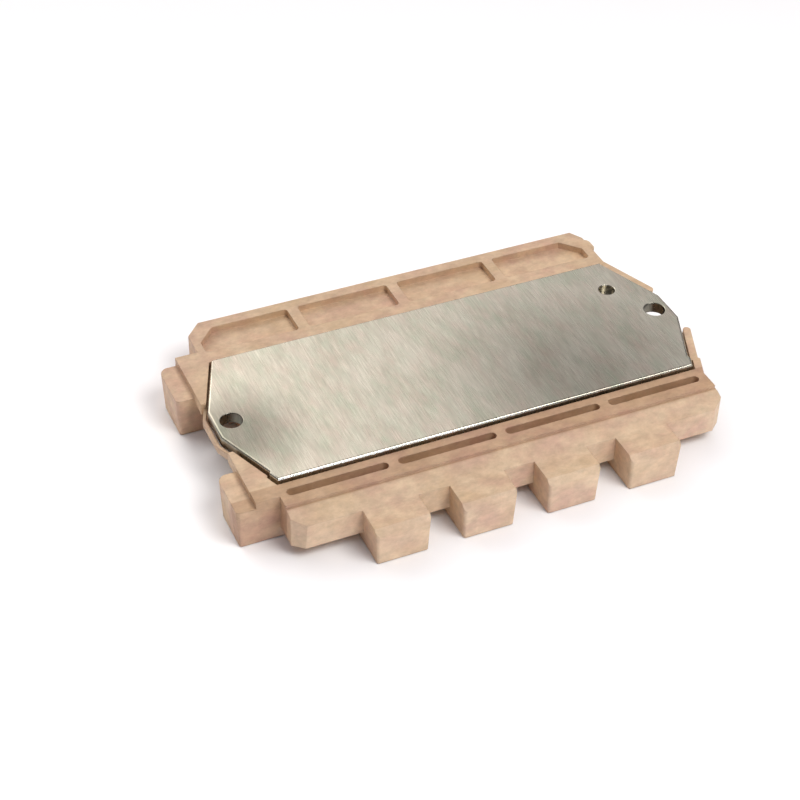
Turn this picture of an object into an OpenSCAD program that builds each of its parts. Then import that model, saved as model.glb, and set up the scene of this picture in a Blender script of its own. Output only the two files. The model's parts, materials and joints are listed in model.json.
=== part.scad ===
// Seven-in-one IGBT power module (three-phase inverter with brake leg).
// Z = 0 is the cooling face of the base plate, which faces +Z. The terminal side faces -Z.
// X runs along the line through the two mounting holes. The output terminals are on the -Y side.
// Depths are measured down from the cooling face, so a depth of 8.7 lies at Z = -8.7.

/* [Base plate] */
// Plate length from tip to tip
plate_length = 102; // [96:0.5:130]
// Plate width across the long edges
plate_width = 39; // [30:0.5:60]
// Plate thickness
plate_t = 2.5; // [2:0.1:4]
// Length of the tapered part at each end
tip_run = 6.2; // [4:0.1:10]
// Length of the flat at each tip
tip_flat = 8.2; // [4:0.2:16]
// How far the plate widens next to its front corners
corner_step = 0.45; // [0:0.05:1]
// Length of that wider part, measured from the front edge
corner_step_run = 2.6; // [1:0.1:5]
// Radius of the plate's upper edge, rolled over by the punch
edge_round = 0.5; // [0.2:0.05:0.7]
// Mounting hole diameter, clearance for M4
hole_d = 4.5; // [4.2:0.1:5.5]
// Distance from each tip to the middle of its mounting hole
hole_inset = 3.5; // [3.4:0.1:6]
// Diameter of the blind locating hole
locate_d = 3.5; // [2:0.1:5]
// Depth of the locating hole
locate_depth = 1.5; // [0.5:0.1:2]
// Distance from the right mounting hole to the locating hole along X
locate_run = 6; // [4:0.5:10]
// Distance from the hole line to the locating hole
locate_y = 10; // [5:0.5:12]

/* [Case outline] */
// Gap between the plate edge and the case
plate_gap = 0.5; // [0.2:0.05:1]
// Height of the plate above the rim
rim_drop = 0.9; // [0.3:0.1:2]
// Left end of the strips, beyond the plate's long edge
strip_left_margin = 1.5; // [0.5:0.1:5]
// Right end of the strips, beyond the plate's long edge
strip_right_margin = 1.8; // [0.5:0.1:5]
// Width of the front strip, from the plate to the ledge step
front_strip_width = 6.7; // [6:0.1:12]
// Width of the back strip
back_strip_width = 13.9; // [13:0.1:20]
// How far the end slabs reach beyond the plate's tips
end_margin = 0.1; // [0:0.1:4]
// Width of the left end slab in front of the plate
end_front_margin = 3.8; // [3:0.1:6]
// Width of the left end slab behind the plate
end_back_margin = 4.5; // [3:0.1:8]
// Chamfer of the back left corner along X
back_left_cut_x = 3.3; // [1:0.1:8]
// Chamfer of the back left corner along Y
back_left_cut_y = 3.6; // [1:0.1:8]
// Chamfer of the back right corner along X
back_right_cut_x = 1.7; // [0.5:0.1:8]
// Chamfer of the back right corner along Y
back_right_cut_y = 2.9; // [0.5:0.1:8]
// Depth of the faces that the module rests on, which is its full height
seat_depth = 11.5; // [11:0.1:17]
// Rise from the resting faces to the skirt, the underside of the strips and the ledge
skirt_rise = 2.8; // [1:0.1:4]
// Rise from the resting faces to the terminal faces of the blocks and lugs
block_rise = 0.2; // [0:0.1:0.6]
// Rise from the resting faces to the face of the core and the lid
core_rise = 0.3; // [0:0.1:1]
// How far the core lies inside the left end of the strips
core_inset = 2; // [1:0.1:4]
// How far the core lies inside the front strip
core_front_inset = 1.2; // [0.5:0.1:3]
// How far the core lies inside the back strip
core_back_inset = 7.4; // [7:0.1:9]

/* [Ledge and blocks] */
// Width of the ledge, from the front strip outwards
ledge_width = 4.6; // [2:0.1:8]
// Step down from the rim to the ledge
ledge_step = 0.6; // [0.2:0.1:2]
// Width of the level part of the ledge
ledge_level = 1; // [0:0.1:3]
// Fall of the sloping part of the ledge
ledge_fall = 1.4; // [0:0.1:3]
// Corner chamfer of the ledge along X
ledge_cut_x = 2.5; // [0.5:0.1:6]
// Corner chamfer of the ledge along Y
ledge_cut_y = 2.1; // [0.5:0.1:4]
// How far the terminal blocks stand out from the ledge
block_length = 6.7; // [4:0.1:12]
// Width of a terminal block at its top
block_width = 11.4; // [9:0.1:15]
// Draft of the block and lug sides over their height
block_draft = 0.4; // [0:0.05:0.6]
// Radius of the blocks' corners and of the front corner of each lug, at the top
block_round = 1; // [0.7:0.1:2]
// Bevel along the block top, measured outwards
bevel_run = 1.2; // [0:0.1:3]
// Bevel along the block top, measured downwards
bevel_fall = 1.4; // [0:0.1:3]
// Distance between the output terminals
terminal_pitch = 18; // [14:0.1:25]
// How far the two supply lugs stand out from the left end slab
lug_length = 3.8; // [3:0.1:8]
// Step down from the rim to the lug tops
lug_step = 1.5; // [0.3:0.1:3]
// Radius of the back corner of each lug, at the top
lug_round = 2; // [0.7:0.1:3]

/* [Core-outs and slots] */
// How much longer the row of core-outs is than the plate's long edge
bay_margin = 2; // [0:0.1:3]
// Width of the ribs between the back core-outs
pocket_rib = 2.4; // [1:0.1:6]
// Distance from the plate to the back core-outs
pocket_margin = 3.8; // [2:0.1:6]
// Wall outside the back core-outs
pocket_wall = 2.5; // [1:0.1:4]
// Corner radius of the back core-outs
pocket_round = 0.8; // [0.3:0.1:2]
// Depth of the back core-outs below the rim
pocket_sink = 1.5; // [0.5:0.1:4]
// Chamfer of the outermost core-out corners along X
pocket_cut_x = 3.8; // [0:0.1:8]
// Chamfer of the outermost core-out corners along Y
pocket_cut_y = 4.1; // [0:0.1:7]
// Width of the ribs between the front slots
slot_rib = 2.1; // [1:0.1:6]
// Width of a front slot
slot_width = 1.9; // [1:0.1:3]
// Distance from the plate to the middle line of the front slots
slot_margin = 3.3; // [2:0.1:5]
// Depth of the front slots below the rim
slot_sink = 3.4; // [1:0.1:4]

/* [Case ends] */
// How far the end slabs reach below the plate
slab_margin = 1; // [0.5:0.1:1.2]
// Thickness of the walls beside the right chamfers
end_wall = 1.6; // [0.8:0.1:3]
// Half width of the opening round each tip
tip_opening = 7.8; // [5:0.1:12]
// Distance from the supply lugs to the screw access between them
access_margin = 0.2; // [0:0.1:3]
// Length of the screw access, inwards from the mounting hole
access_run = 4.5; // [4:0.1:5]
// Width of the guard bar across the left tip
bar_width = 0.65; // [0.5:0.05:2]
// Gap between the left tip and the guard bar
bar_gap = 0.35; // [0.2:0.05:2]
// Depth of the guard bar's top
bar_depth = 2; // [1:0.1:3]
// How far the pad on the right end stands out
pad_out = 2; // [0:0.1:4]
// Length of the pad on the right end
pad_length = 4.4; // [3:0.1:8]
// Distance from the pad to the back of the case
pad_inset = 1.8; // [0:0.1:4]

/* [Inner space] */
// Thickness of the bead under the plate
adhesive_t = 0.2; // [0.1:0.05:0.5]
// Room beyond each end of the row of substrates
bay_margin_x = 0.7; // [0.3:0.1:1.5]
// Room beside the substrates
bay_margin_y = 1; // [0.3:0.1:1.5]
// Gap between the terminal runs and the board
board_gap = 0.3; // [0.1:0.1:1]
// How far the shoulder under the board reaches beyond the room for the substrates
board_shoulder = 0.8; // [0.5:0.1:2]
// Thickness of the board
board_t = 1; // [0.6:0.1:1.6]
// Play between the board edge and the case
board_play = 0.2; // [0.1:0.05:0.5]
// Thickness of the lid
lid_t = 1.3; // [0.8:0.1:2]
// Width of the lid shoulder
lid_shoulder = 1.6; // [1:0.1:3]
// Play between the lid edge and the case
lid_play = 0.1; // [0.05:0.05:0.5]
// Wall of the core behind the lid
lid_wall = 1.8; // [1:0.1:3]
// Height of the rib that locates the lid
lid_rib = 0.8; // [0.4:0.1:1]

/* [Terminals] */
// Thickness of the terminal strip
strip_t = 0.8; // [0.5:0.1:1.2]
// Inner radius of the terminal bends
bend_r = 0.6; // [0.2:0.1:1]
// Width of a terminal tab
tab_width = 8.4; // [6:0.1:10]
// Width of a terminal run inside the case
run_width = 5; // [3:0.1:6]
// Height of the runs over the tracks
run_height = 1.35; // [1.2:0.05:1.6]
// Hole in each tab
tab_hole_d = 4.5; // [4:0.1:5.5]
// Distance from a block's outer face to its screw
screw_inset = 5.2; // [4:0.1:7]
// Distance from a block's outer face to its tab
tab_inset = 1.1; // [0.5:0.1:2]
// Distance from the screw to the outer face of the riser
riser_offset = 4.3; // [4:0.1:5]
// Thread diameter of the nuts
thread_d = 4; // [3:1:5]
// Width of the nuts across their flats
nut_flats = 7; // [5.5:0.5:8]
// Thickness of the nuts
nut_t = 3.2; // [2:0.1:4]
// Play between nut and pocket
nut_play = 0.1; // [0.05:0.05:0.3]
// Depth of the hole above each nut, for the screw's end
screw_relief = 1.8; // [0.5:0.1:2.2]

/* [Power circuit] */
// How much longer a substrate is than its two output legs
ceramic_margin = 1.2; // [1:0.1:2]
// Width of a substrate
ceramic_width = 28.4; // [26:0.1:30]
// Gap between the two substrates
ceramic_gap = 1.6; // [0.5:0.1:3]
// Distance from the ceramic's edge to its copper
copper_margin = 0.8; // [0.5:0.1:1.5]
// Thickness of the substrate solder
solder_t = 0.15; // [0.1:0.05:0.3]
// Thickness of the copper on the substrates
copper_t = 0.3; // [0.2:0.05:0.6]
// Thickness of the ceramic
ceramic_t = 0.4; // [0.3:0.05:1]
// Insulating gap between tracks
track_gap = 1; // [0.6:0.1:1.5]
// How much wider the positive rail is than its chips
positive_margin = 3.2; // [3:0.1:4]
// Width of the negative rail
negative_width = 1.8; // [1.2:0.1:3]
// Width of the negative arms at the outer ends
arm_width = 2.8; // [2:0.1:4]
// Size of a switch chip
igbt_size = 6; // [4:0.1:7]
// Width of a diode chip
diode_width = 4.4; // [3:0.1:5]
// Distance from the high side chips to the edge of their rail
chip_edge = 0.3; // [0.1:0.05:1]
// Distance from the low side chips to the edge of their tracks
low_chip_edge = 1.4; // [0.5:0.1:2]
// Thickness of the chips
chip_t = 0.25; // [0.15:0.05:0.5]
// Thickness of the chip solder
chip_solder_t = 0.1; // [0.05:0.05:0.2]
// Thickness of the bond wires
wire_d = 0.4; // [0.2:0.05:0.5]
// Loop height of the bond wires
loop_h = 1.1; // [0.6:0.1:1.3]
// Side of a gate pad
pad_size = 1.6; // [1:0.1:2]

/* [Control side] */
// Distance between control pins in one group
pin_pitch = 2.54; // [2:0.02:3]
// Thickness of a control pin
pin_t = 0.64; // [0.4:0.02:1]
// Distance from the core to the line of the control pins
pin_offset = 2.3; // [1.8:0.1:3]
// Rise from the resting faces to the pin ends
pin_rise = 0.3; // [0.1:0.1:1]
// How far the guard round the pins lies inside the ends of the core
guard_inset = 6.1; // [2:0.1:8]
// How far the guard stands out from the core
guard_length = 5.8; // [4:0.1:6.5]
// Thickness of the guard walls
guard_wall = 1.2; // [0.8:0.1:2]
// Diameter of the posts between substrate and board
link_d = 0.8; // [0.5:0.1:1]
// Play between the posts and the board
link_play = 0.1; // [0.05:0.05:0.3]
// Length of a driver chip body
driver_length = 9; // [5:0.1:12]
// Width of a driver chip body
driver_width = 6; // [4:0.1:8]
// Thickness of a driver chip body
driver_t = 1.7; // [1:0.1:2]

/* [Hidden] */
$fn = 48;
far = 200;
eps = 0.01;

// Plate outline: direction and offset of the chamfer lines
tip_x = plate_length / 2;
tip_y = tip_flat / 2;
edge_x = tip_x - tip_run;
edge_y = plate_width / 2;
hole_x = tip_x - hole_inset;
chamfer_run = norm([tip_x - edge_x, edge_y - tip_y]);
chamfer_nx = (edge_y - tip_y) / chamfer_run;
chamfer_ny = (tip_x - edge_x) / chamfer_run;
chamfer_c = chamfer_nx * edge_x + chamfer_ny * edge_y;

// Outline of the case, from the plate outwards
strip_left = edge_x + strip_left_margin;
strip_right = edge_x + strip_right_margin;
front_reach = edge_y + front_strip_width;
back_reach = edge_y + back_strip_width;
ledge_reach = front_reach + ledge_width;
block_reach = ledge_reach + block_length;
end_reach = tip_x + end_margin;
end_front = edge_y + end_front_margin;
end_back = edge_y + end_back_margin;
lug_reach = end_reach + lug_length;
lug_middle = end_front - block_width / 2;
access_half = lug_middle - block_width / 2 - access_margin;
access_start = hole_x - access_run;
core_half_x = strip_left - core_inset;
core_front = front_reach - core_front_inset;
core_back = back_reach - core_back_inset;
guard_half_x = core_half_x - guard_inset;
guard_reach = core_back + guard_length;
pin_line = core_back + pin_offset;
bay_pitch = (2 * edge_x + bay_margin) / 4;
pocket_length = bay_pitch - pocket_rib;
pocket_near = edge_y + pocket_margin;
pocket_width = back_reach - pocket_wall - pocket_near;
slot_length = bay_pitch - slot_rib;
slot_line = edge_y + slot_margin;

// Inner space, from the substrates outwards
ceramic_length = 2 * terminal_pitch + ceramic_margin;
bay_half_x = ceramic_gap / 2 + ceramic_length + bay_margin_x;
bay_half_y = ceramic_width / 2 + bay_margin_y;
board_half_x = bay_half_x + board_shoulder;
board_front = bay_half_y + board_shoulder;
board_back = core_back - lid_wall - lid_play - lid_shoulder - board_play;

// Levels below the cooling face
rebate_depth = plate_t + adhesive_t;
slab_depth = plate_t + slab_margin;
ledge_depth = rim_drop + ledge_step;
block_depth = ledge_depth + ledge_fall;
lug_depth = rim_drop + lug_step;
block_face = seat_depth - block_rise;
skirt_depth = seat_depth - skirt_rise;
core_depth = seat_depth - core_rise;
lid_depth = core_depth - lid_t - adhesive_t;
pin_depth = seat_depth - pin_rise;
back_copper_depth = plate_t + solder_t;
ceramic_depth = back_copper_depth + copper_t;
track_depth = ceramic_depth + ceramic_t;
track_face = track_depth + copper_t;
chip_face = track_face + chip_solder_t + chip_t;
run_depth = track_face + run_height;
board_depth = run_depth + strip_t + board_gap;
board_face = board_depth + board_t;

// Positions on the substrates
copper_in = ceramic_gap / 2 + copper_margin;
copper_out = ceramic_gap / 2 + ceramic_length - copper_margin;
copper_y = ceramic_width / 2 - copper_margin;
positive_width = igbt_size + positive_margin;
negative_top = copper_y - positive_width - track_gap;
negative_low = negative_top - negative_width;
phase_top = negative_low - track_gap;
arm_edge = copper_out - arm_width;
high_chip_y = copper_y - positive_width + chip_edge + igbt_size / 2;
low_chip_y = phase_top - low_chip_edge - igbt_size / 2;
igbt_dx = -3.2;
diode_dx = 3.8;
pad_dx = -5.6;
pad_y = copper_y - pad_size / 2 - 0.4;
notch = pad_size + track_gap;
leg_x = [for (i = [0:3]) (i - 1.5) * terminal_pitch];
phase_x0 = [-arm_edge + track_gap, -terminal_pitch + track_gap / 2, copper_in, terminal_pitch + track_gap / 2];
phase_x1 = [-terminal_pitch - track_gap / 2, -copper_in, terminal_pitch - track_gap / 2, arm_edge - track_gap];

// Control pins: four groups along the pin line, each with its middle and its number of pins
pin_counts = [3, 3, 3, 7];
pin_groups = [for (i = [0:3]) [(i - 1.5) * (terminal_pitch - 1.5) - 1.75, pin_counts[i]]];
link_points = concat(
    [for (i = [1:3]) [leg_x[i] + pad_dx, pad_y]],
    [for (i = [0:3]) [leg_x[i] + pad_dx, -pad_y]]
);
driver_points = [for (i = [0:3]) [(i - 1.5) * (terminal_pitch - 2) - 4, 4]];
capacitor_points = [for (i = [0:4]) [(i - 2) * (terminal_pitch - 2.5) - 3, -9]];
resistor_points = [for (p = driver_points, dx = [-1.5, 3.5]) [p[0] + dx, 14.5]];

case_colour = [0.84, 0.72, 0.58];
nickel = [0.72, 0.70, 0.66];
copper = [0.80, 0.50, 0.32];
tinned = [0.78, 0.78, 0.76];

// ---------- outlines ----------

// X of a chamfer line at distance y from the hole line, with the line moved out by s
function chamfer_x(y, s) = (chamfer_c + s - chamfer_ny * y) / chamfer_nx;

// One quarter of the plate outline, grown by g, from the tip to the long edge
function plain_quarter(g) = [
    [tip_x + g, (chamfer_c + g - chamfer_nx * (tip_x + g)) / chamfer_ny],
    [chamfer_x(edge_y + g, g), edge_y + g]
];

// The same quarter with the wider part next to the corner
function stepped_quarter(g) = [
    [tip_x + g, (chamfer_c + g - chamfer_nx * (tip_x + g)) / chamfer_ny],
    [chamfer_x(edge_y - corner_step_run, g), edge_y - corner_step_run],
    [
        chamfer_x(edge_y - corner_step_run + corner_step, g + corner_step),
        edge_y - corner_step_run + corner_step
    ],
    [chamfer_x(edge_y + g, g + corner_step), edge_y + g]
];

function flip(points, sx, sy) = [for (p = points) [p[0] * sx, p[1] * sy]];
function reversed(points) = [for (i = [len(points) - 1:-1:0]) points[i]];

module plate_outline(g) {
    polygon(concat(
        plain_quarter(g),
        reversed(flip(plain_quarter(g), -1, 1)),
        flip(stepped_quarter(g), -1, -1),
        reversed(flip(stepped_quarter(g), 1, -1))
    ));
}

module rounded_rect(x0, x1, y0, y1, r) {
    translate([x0 + r, y0]) square([x1 - x0 - 2 * r, y1 - y0]);
    translate([x0, y0 + r]) square([x1 - x0, y1 - y0 - 2 * r]);
    for (x = [x0 + r, x1 - r], y = [y0 + r, y1 - r]) {
        translate([x, y]) circle(r);
    }
}

module stadium(length, width) {
    square([length - width, width], center = true);
    for (s = [-1, 1]) {
        translate([s * (length - width) / 2, 0]) circle(width / 2);
    }
}

// A plan shape between two depths
module slab(top, bottom) {
    translate([0, 0, -bottom]) linear_extrude(bottom - top) children();
}

// A side profile, drawn with Y to the right and Z up, carried from x0 to x1
module along_x(x0, x1) {
    translate([x0, 0, 0]) rotate([90, 0, 90]) linear_extrude(x1 - x0) children();
}

// A front profile, drawn with X to the right and Z up, carried from y0 to y1
module along_y(y0, y1) {
    translate([0, y1, 0]) rotate([90, 0, 0]) linear_extrude(y1 - y0) children();
}

// Quarter of a bent strip round the origin, in the quadrant given by the two signs
module bend(sx, sy) {
    intersection() {
        difference() {
            circle(bend_r + strip_t);
            circle(bend_r);
        }
        scale([sx, sy]) square(bend_r + strip_t);
    }
}

// ---------- base plate ----------

// What the rolled edge takes off along one side, which lies at distance c from the origin and
// faces the given direction. It runs from t0 to t1 along the side.
module edge_cut(direction, c, t0, t1) {
    rotate([0, 0, direction]) along_y(t0, t1) translate([c - edge_round, -edge_round]) difference() {
        square(edge_round + 1);
        circle(edge_round);
    }
}

module rolled_edges() {
    slant = atan2(chamfer_ny, chamfer_nx);
    step_y = edge_y - corner_step_run;
    step_t = chamfer_ny * chamfer_x(step_y, 0) - chamfer_nx * step_y;
    for (s = [-1, 1]) {
        edge_cut(s * 90, edge_y, -far, far);
        scale([s, 1, 1]) {
            edge_cut(0, tip_x, -far, far);
            edge_cut(slant, chamfer_c, -far, far);
            edge_cut(-slant, chamfer_c, step_t, far);
            edge_cut(-slant, chamfer_c + corner_step, -far, step_t);
        }
    }
}

module base_plate() {
    color(nickel) difference() {
        slab(0, plate_t) plate_outline(0);
        rolled_edges();
        for (s = [-1, 1]) {
            translate([s * hole_x, 0, -far / 2]) cylinder(d = hole_d, h = far);
        }
        translate([hole_x - locate_run, locate_y, -locate_depth]) cylinder(d = locate_d, h = far);
    }
}

module plate_adhesive() {
    color([0.85, 0.85, 0.82]) slab(plate_t, rebate_depth) difference() {
        rounded_rect(-bay_half_x - 3, bay_half_x + 3, 0.8 - edge_y, edge_y - 0.8, 2);
        rounded_rect(-bay_half_x - 0.6, bay_half_x + 0.6, -bay_half_y - 0.6, bay_half_y + 0.6, 2);
    }
}

// ---------- case ----------

module strip_outline() {
    polygon([
        [-strip_left, -front_reach],
        [strip_right, -front_reach],
        [strip_right, back_reach - back_right_cut_y],
        [strip_right - back_right_cut_x, back_reach],
        [-strip_left + back_left_cut_x, back_reach],
        [-strip_left, back_reach - back_left_cut_y]
    ]);
}

module end_outline() {
    translate([-end_reach, -end_front]) square([end_reach - access_start + 1, end_front + end_back]);
    intersection() {
        plate_outline(plate_gap + end_wall);
        translate([access_start - 1, -far / 2]) square([far, far]);
    }
}

// Rounded ends of the two thin walls at the right end
module wall_ends() {
    for (s = [-1, 1]) {
        translate([chamfer_x(tip_opening, plate_gap + end_wall / 2), s * tip_opening]) circle(end_wall / 2);
    }
}

module ledge() {
    intersection() {
        along_x(-strip_left, strip_right) polygon([
            [-core_front + 1, -ledge_depth],
            [-front_reach - ledge_level, -ledge_depth],
            [-ledge_reach, -block_depth],
            [-ledge_reach + 0.2, -skirt_depth],
            [-core_front + 1, -skirt_depth]
        ]);
        slab(0, far) polygon([
            [-strip_left, -core_front + 1],
            [-strip_left, -ledge_reach + ledge_cut_y],
            [-strip_left + ledge_cut_x, -ledge_reach],
            [strip_right - ledge_cut_x, -ledge_reach],
            [strip_right, -ledge_reach + ledge_cut_y],
            [strip_right, -core_front + 1]
        ]);
    }
}

// Front view of a block or lug: its sides draw in towards the terminal face
module drafted_width(top) {
    polygon([
        [-block_width / 2, -top],
        [block_width / 2, -top],
        [block_width / 2 - block_draft, -block_face],
        [-block_width / 2 + block_draft, -block_face]
    ]);
}

// What a rounded corner takes off a block or lug with its top at the given depth: all outside
// a cone that narrows as fast as the drafted sides, and that is a little larger than one which
// only touches them. The two signs point at the corner.
module corner_cut(sx, sy, top, r) {
    height = block_face - top;
    slope = block_draft / height;
    low = 1.03 * (r - block_draft - 2 * slope);
    high = 1.03 * (r + 2 * slope);
    scale([sx, sy, 1]) translate([-r, -r, -block_face]) difference() {
        translate([0, 0, -1]) cube([r + 1, r + 1, height + 2]);
        translate([0, 0, -2]) cylinder(r1 = low, r2 = high, h = height + 4);
    }
}

module terminal_block(x) {
    slope = block_draft / (block_face - block_depth);
    difference() {
        intersection() {
            along_x(x - block_width / 2, x + block_width / 2) polygon([
                [-core_front + 1, -block_depth],
                [-block_reach + bevel_run, -block_depth],
                [-block_reach + slope * bevel_fall, -block_depth - bevel_fall],
                [-block_reach + block_draft, -block_face],
                [-core_front + 1, -block_face]
            ]);
            translate([x, 0, 0]) along_y(-block_reach, -core_front + 1) drafted_width(block_depth);
        }
        for (s = [-1, 1]) {
            translate([x + s * block_width / 2, -block_reach, 0])
                corner_cut(s, -1, block_depth, block_round);
        }
    }
}

module supply_lug(s) {
    y = s * lug_middle;
    difference() {
        intersection() {
            along_y(y - block_width / 2, y + block_width / 2) polygon([
                [-access_start + 1, -lug_depth],
                [-lug_reach, -lug_depth],
                [-lug_reach + block_draft, -block_face],
                [-access_start + 1, -block_face]
            ]);
            translate([0, y, 0]) along_x(-lug_reach, -access_start + 1) drafted_width(lug_depth);
        }
        translate([-lug_reach, y + block_width / 2, 0]) corner_cut(-1, 1, lug_depth, lug_round);
        translate([-lug_reach, y - block_width / 2, 0]) corner_cut(-1, -1, lug_depth, block_round);
    }
}

// Thin bar that follows the plate round the left tip and closes the screw access there
module guard_bar() {
    slab(bar_depth, slab_depth) intersection() {
        difference() {
            plate_outline(bar_gap + bar_width);
            plate_outline(bar_gap);
        }
        translate([-far, -tip_opening - 0.5]) square([far - access_start, 2 * tip_opening + 1]);
    }
}

module side_pad() {
    slab(lug_depth, skirt_depth) rounded_rect(
        strip_right - 3, strip_right + pad_out,
        back_reach - pad_inset - pad_length, back_reach - pad_inset, 1.4
    );
}

module control_guard() {
    slab(skirt_depth - 1, seat_depth) difference() {
        rounded_rect(-guard_half_x, guard_half_x, core_back - 1, guard_reach, 1);
        rounded_rect(-guard_half_x + guard_wall, guard_half_x - guard_wall, core_back,
            guard_reach - guard_wall, 0.5);
    }
}

module case_body() {
    slab(rim_drop, skirt_depth) strip_outline();
    slab(rim_drop, slab_depth) {
        end_outline();
        wall_ends();
    }
    ledge();
    slab(skirt_depth - 1, core_depth)
        rounded_rect(-core_half_x, core_half_x, -core_front, core_back, 1);
    for (x = leg_x) {
        terminal_block(x);
    }
    for (s = [-1, 1]) {
        supply_lug(s);
    }
    guard_bar();
    side_pad();
    control_guard();
}

// Back core-outs. The outermost two have one corner cut off.
module pocket(i) {
    half = pocket_length / 2;
    side = i == 0 ? -1 : 1;
    slab(0, rim_drop + pocket_sink) translate([(i - 1.5) * bay_pitch, pocket_near]) difference() {
        rounded_rect(-half, half, 0, pocket_width, pocket_round);
        if (i == 0 || i == 3) {
            scale([side, 1]) polygon([
                [half - pocket_cut_x, pocket_width],
                [half, pocket_width - pocket_cut_y],
                [half + 1, pocket_width - pocket_cut_y],
                [half + 1, pocket_width + 1],
                [half - pocket_cut_x, pocket_width + 1]
            ]);
        }
    }
}

module case_cuts() {
    slab(-1, rebate_depth) plate_outline(plate_gap);
    slab(0, board_depth + eps)
        rounded_rect(-bay_half_x, bay_half_x, -bay_half_y, bay_half_y, 1.5);
    slab(board_depth, far) rounded_rect(
        -board_half_x - board_play, board_half_x + board_play,
        -board_front - board_play, board_back + board_play, 1.2
    );
    slab(lid_depth, far) lid_outline(lid_play);
    for (i = [0:3]) {
        pocket(i);
        slab(0, rim_drop + slot_sink)
            translate([(i - 1.5) * bay_pitch, -slot_line]) stadium(slot_length, slot_width);
    }
    for (s = [-1, 1]) {
        // opening round the tip, then the wider screw access below the slab
        slab(-1, slab_depth + eps) translate([s * (access_start + far / 2), 0])
            square([far, 2 * tip_opening], center = true);
        slab(slab_depth, far) translate([s * (access_start + far / 2), 0])
            square([far, 2 * access_half], center = true);
    }
}

module case_frame() {
    color(case_colour) difference() {
        union() {
            difference() {
                case_body();
                case_cuts();
            }
            guard_bar();
            slab(rim_drop, slab_depth) wall_ends();
        }
        for (x = leg_x) {
            front_strip(x);
            nut_space([x, -block_reach + screw_inset]);
        }
        for (s = [-1, 1]) {
            supply_strip(s);
            nut_space([-lug_reach + screw_inset, s * lug_middle]);
        }
        pin_rows();
    }
}

// ---------- lid ----------

module lid_outline(play) {
    rounded_rect(
        -board_half_x - board_play - lid_shoulder - play, board_half_x + board_play + lid_shoulder + play,
        -board_front - board_play - lid_shoulder - play, board_back + board_play + lid_shoulder + play, 2
    );
}

module lid() {
    color(case_colour) {
        slab(lid_depth + adhesive_t, core_depth) lid_outline(0);
        // inner rib that locates the lid in the case
        slab(lid_depth - lid_rib, lid_depth + adhesive_t + 0.1) difference() {
            rounded_rect(-board_half_x, board_half_x, -board_front, board_back, 1);
            rounded_rect(-board_half_x + 1, board_half_x - 1, 1 - board_front, board_back - 1, 0.5);
        }
    }
}

module lid_adhesive() {
    color([0.85, 0.85, 0.82]) slab(lid_depth, lid_depth + adhesive_t) difference() {
        lid_outline(-0.2);
        rounded_rect(
            -board_half_x - board_play, board_half_x + board_play,
            -board_front - board_play, board_back + board_play, 1.2
        );
    }
}

// ---------- terminals ----------

// Side view of tab, riser and outer part of the run, for a screw at y = 0 and a block behind it
module strip_profile(run_end) {
    outer = screw_inset - tab_inset;
    riser = riser_offset;
    low = -seat_depth;
    translate([-outer, low]) square([outer + riser - bend_r, strip_t]);
    translate([riser - bend_r, low + strip_t + bend_r]) bend(1, -1);
    translate([riser, low + strip_t + bend_r])
        square([strip_t, seat_depth - strip_t - run_depth - strip_t - 2 * bend_r]);
    translate([riser + strip_t + bend_r, -run_depth - strip_t - bend_r]) bend(-1, 1);
    translate([riser + strip_t + bend_r, -run_depth - strip_t])
        square([run_end - riser - strip_t - bend_r, strip_t]);
}

// The wide outer part of a terminal: tab with its hole, and riser
module strip_outer() {
    difference() {
        along_x(-tab_width / 2, tab_width / 2) strip_profile(riser_offset + 2.2);
        translate([0, 0, -seat_depth - 1]) cylinder(d = tab_hole_d, h = strip_t + 2);
    }
}

module front_strip(x) {
    y = -block_reach + screw_inset;
    foot_y = -copper_y + 0.2;
    translate([x, y, 0]) strip_outer();
    translate([x - run_width / 2, y + riser_offset + 2, -run_depth - strip_t])
        cube([run_width, foot_y + 2.4 - y - riser_offset - 2, strip_t]);
    translate([x - run_width / 2, foot_y, -run_depth - strip_t / 2])
        cube([run_width, 2.4, run_depth + strip_t / 2 - track_face]);
}

// Supply terminal: the run turns in towards its rail
module supply_strip(s) {
    x = -lug_reach + screw_inset;
    foot_x = -copper_out + 0.2;
    foot_y = copper_y - 3.8;
    translate([x, s * lug_middle, 0]) rotate([0, 0, -90]) strip_outer();
    slab(run_depth, run_depth + strip_t) scale([1, s]) polygon([
        [x + riser_offset + 2, lug_middle - run_width / 2 - 1.9],
        [-bay_half_x - 1, lug_middle - run_width / 2 - 1.9],
        [-bay_half_x - 1, foot_y],
        [foot_x + 2.4, foot_y],
        [foot_x + 2.4, copper_y - 0.6],
        [-bay_half_x - 0.2, copper_y + 0.4],
        [-bay_half_x - 1.5, lug_middle + run_width / 2],
        [x + riser_offset + 2, lug_middle + run_width / 2]
    ]);
    slab(track_face, run_depth + strip_t / 2)
        scale([1, s]) translate([foot_x, foot_y]) square([2.4, 3.2]);
}

module terminal_b() { color(nickel) front_strip(leg_x[0]); }
module terminal_u() { color(nickel) front_strip(leg_x[1]); }
module terminal_v() { color(nickel) front_strip(leg_x[2]); }
module terminal_w() { color(nickel) front_strip(leg_x[3]); }
module terminal_p() { color(nickel) supply_strip(1); }
module terminal_n() { color(nickel) supply_strip(-1); }

module hexagon(flats) {
    circle(d = flats / cos(30), $fn = 6);
}

// Room for a nut above its tab, for the screw's end above the nut, and for the tab's hole
module nut_space(p) {
    top = seat_depth - strip_t - nut_t - nut_play;
    translate([p[0], p[1], 0]) {
        slab(top, seat_depth - strip_t + eps) hexagon(nut_flats + 2 * nut_play);
        slab(top - screw_relief, top + eps) circle(d = thread_d + 0.6);
        slab(seat_depth - strip_t + eps / 2, far) circle(d = tab_hole_d + 0.2);
    }
}

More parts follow.
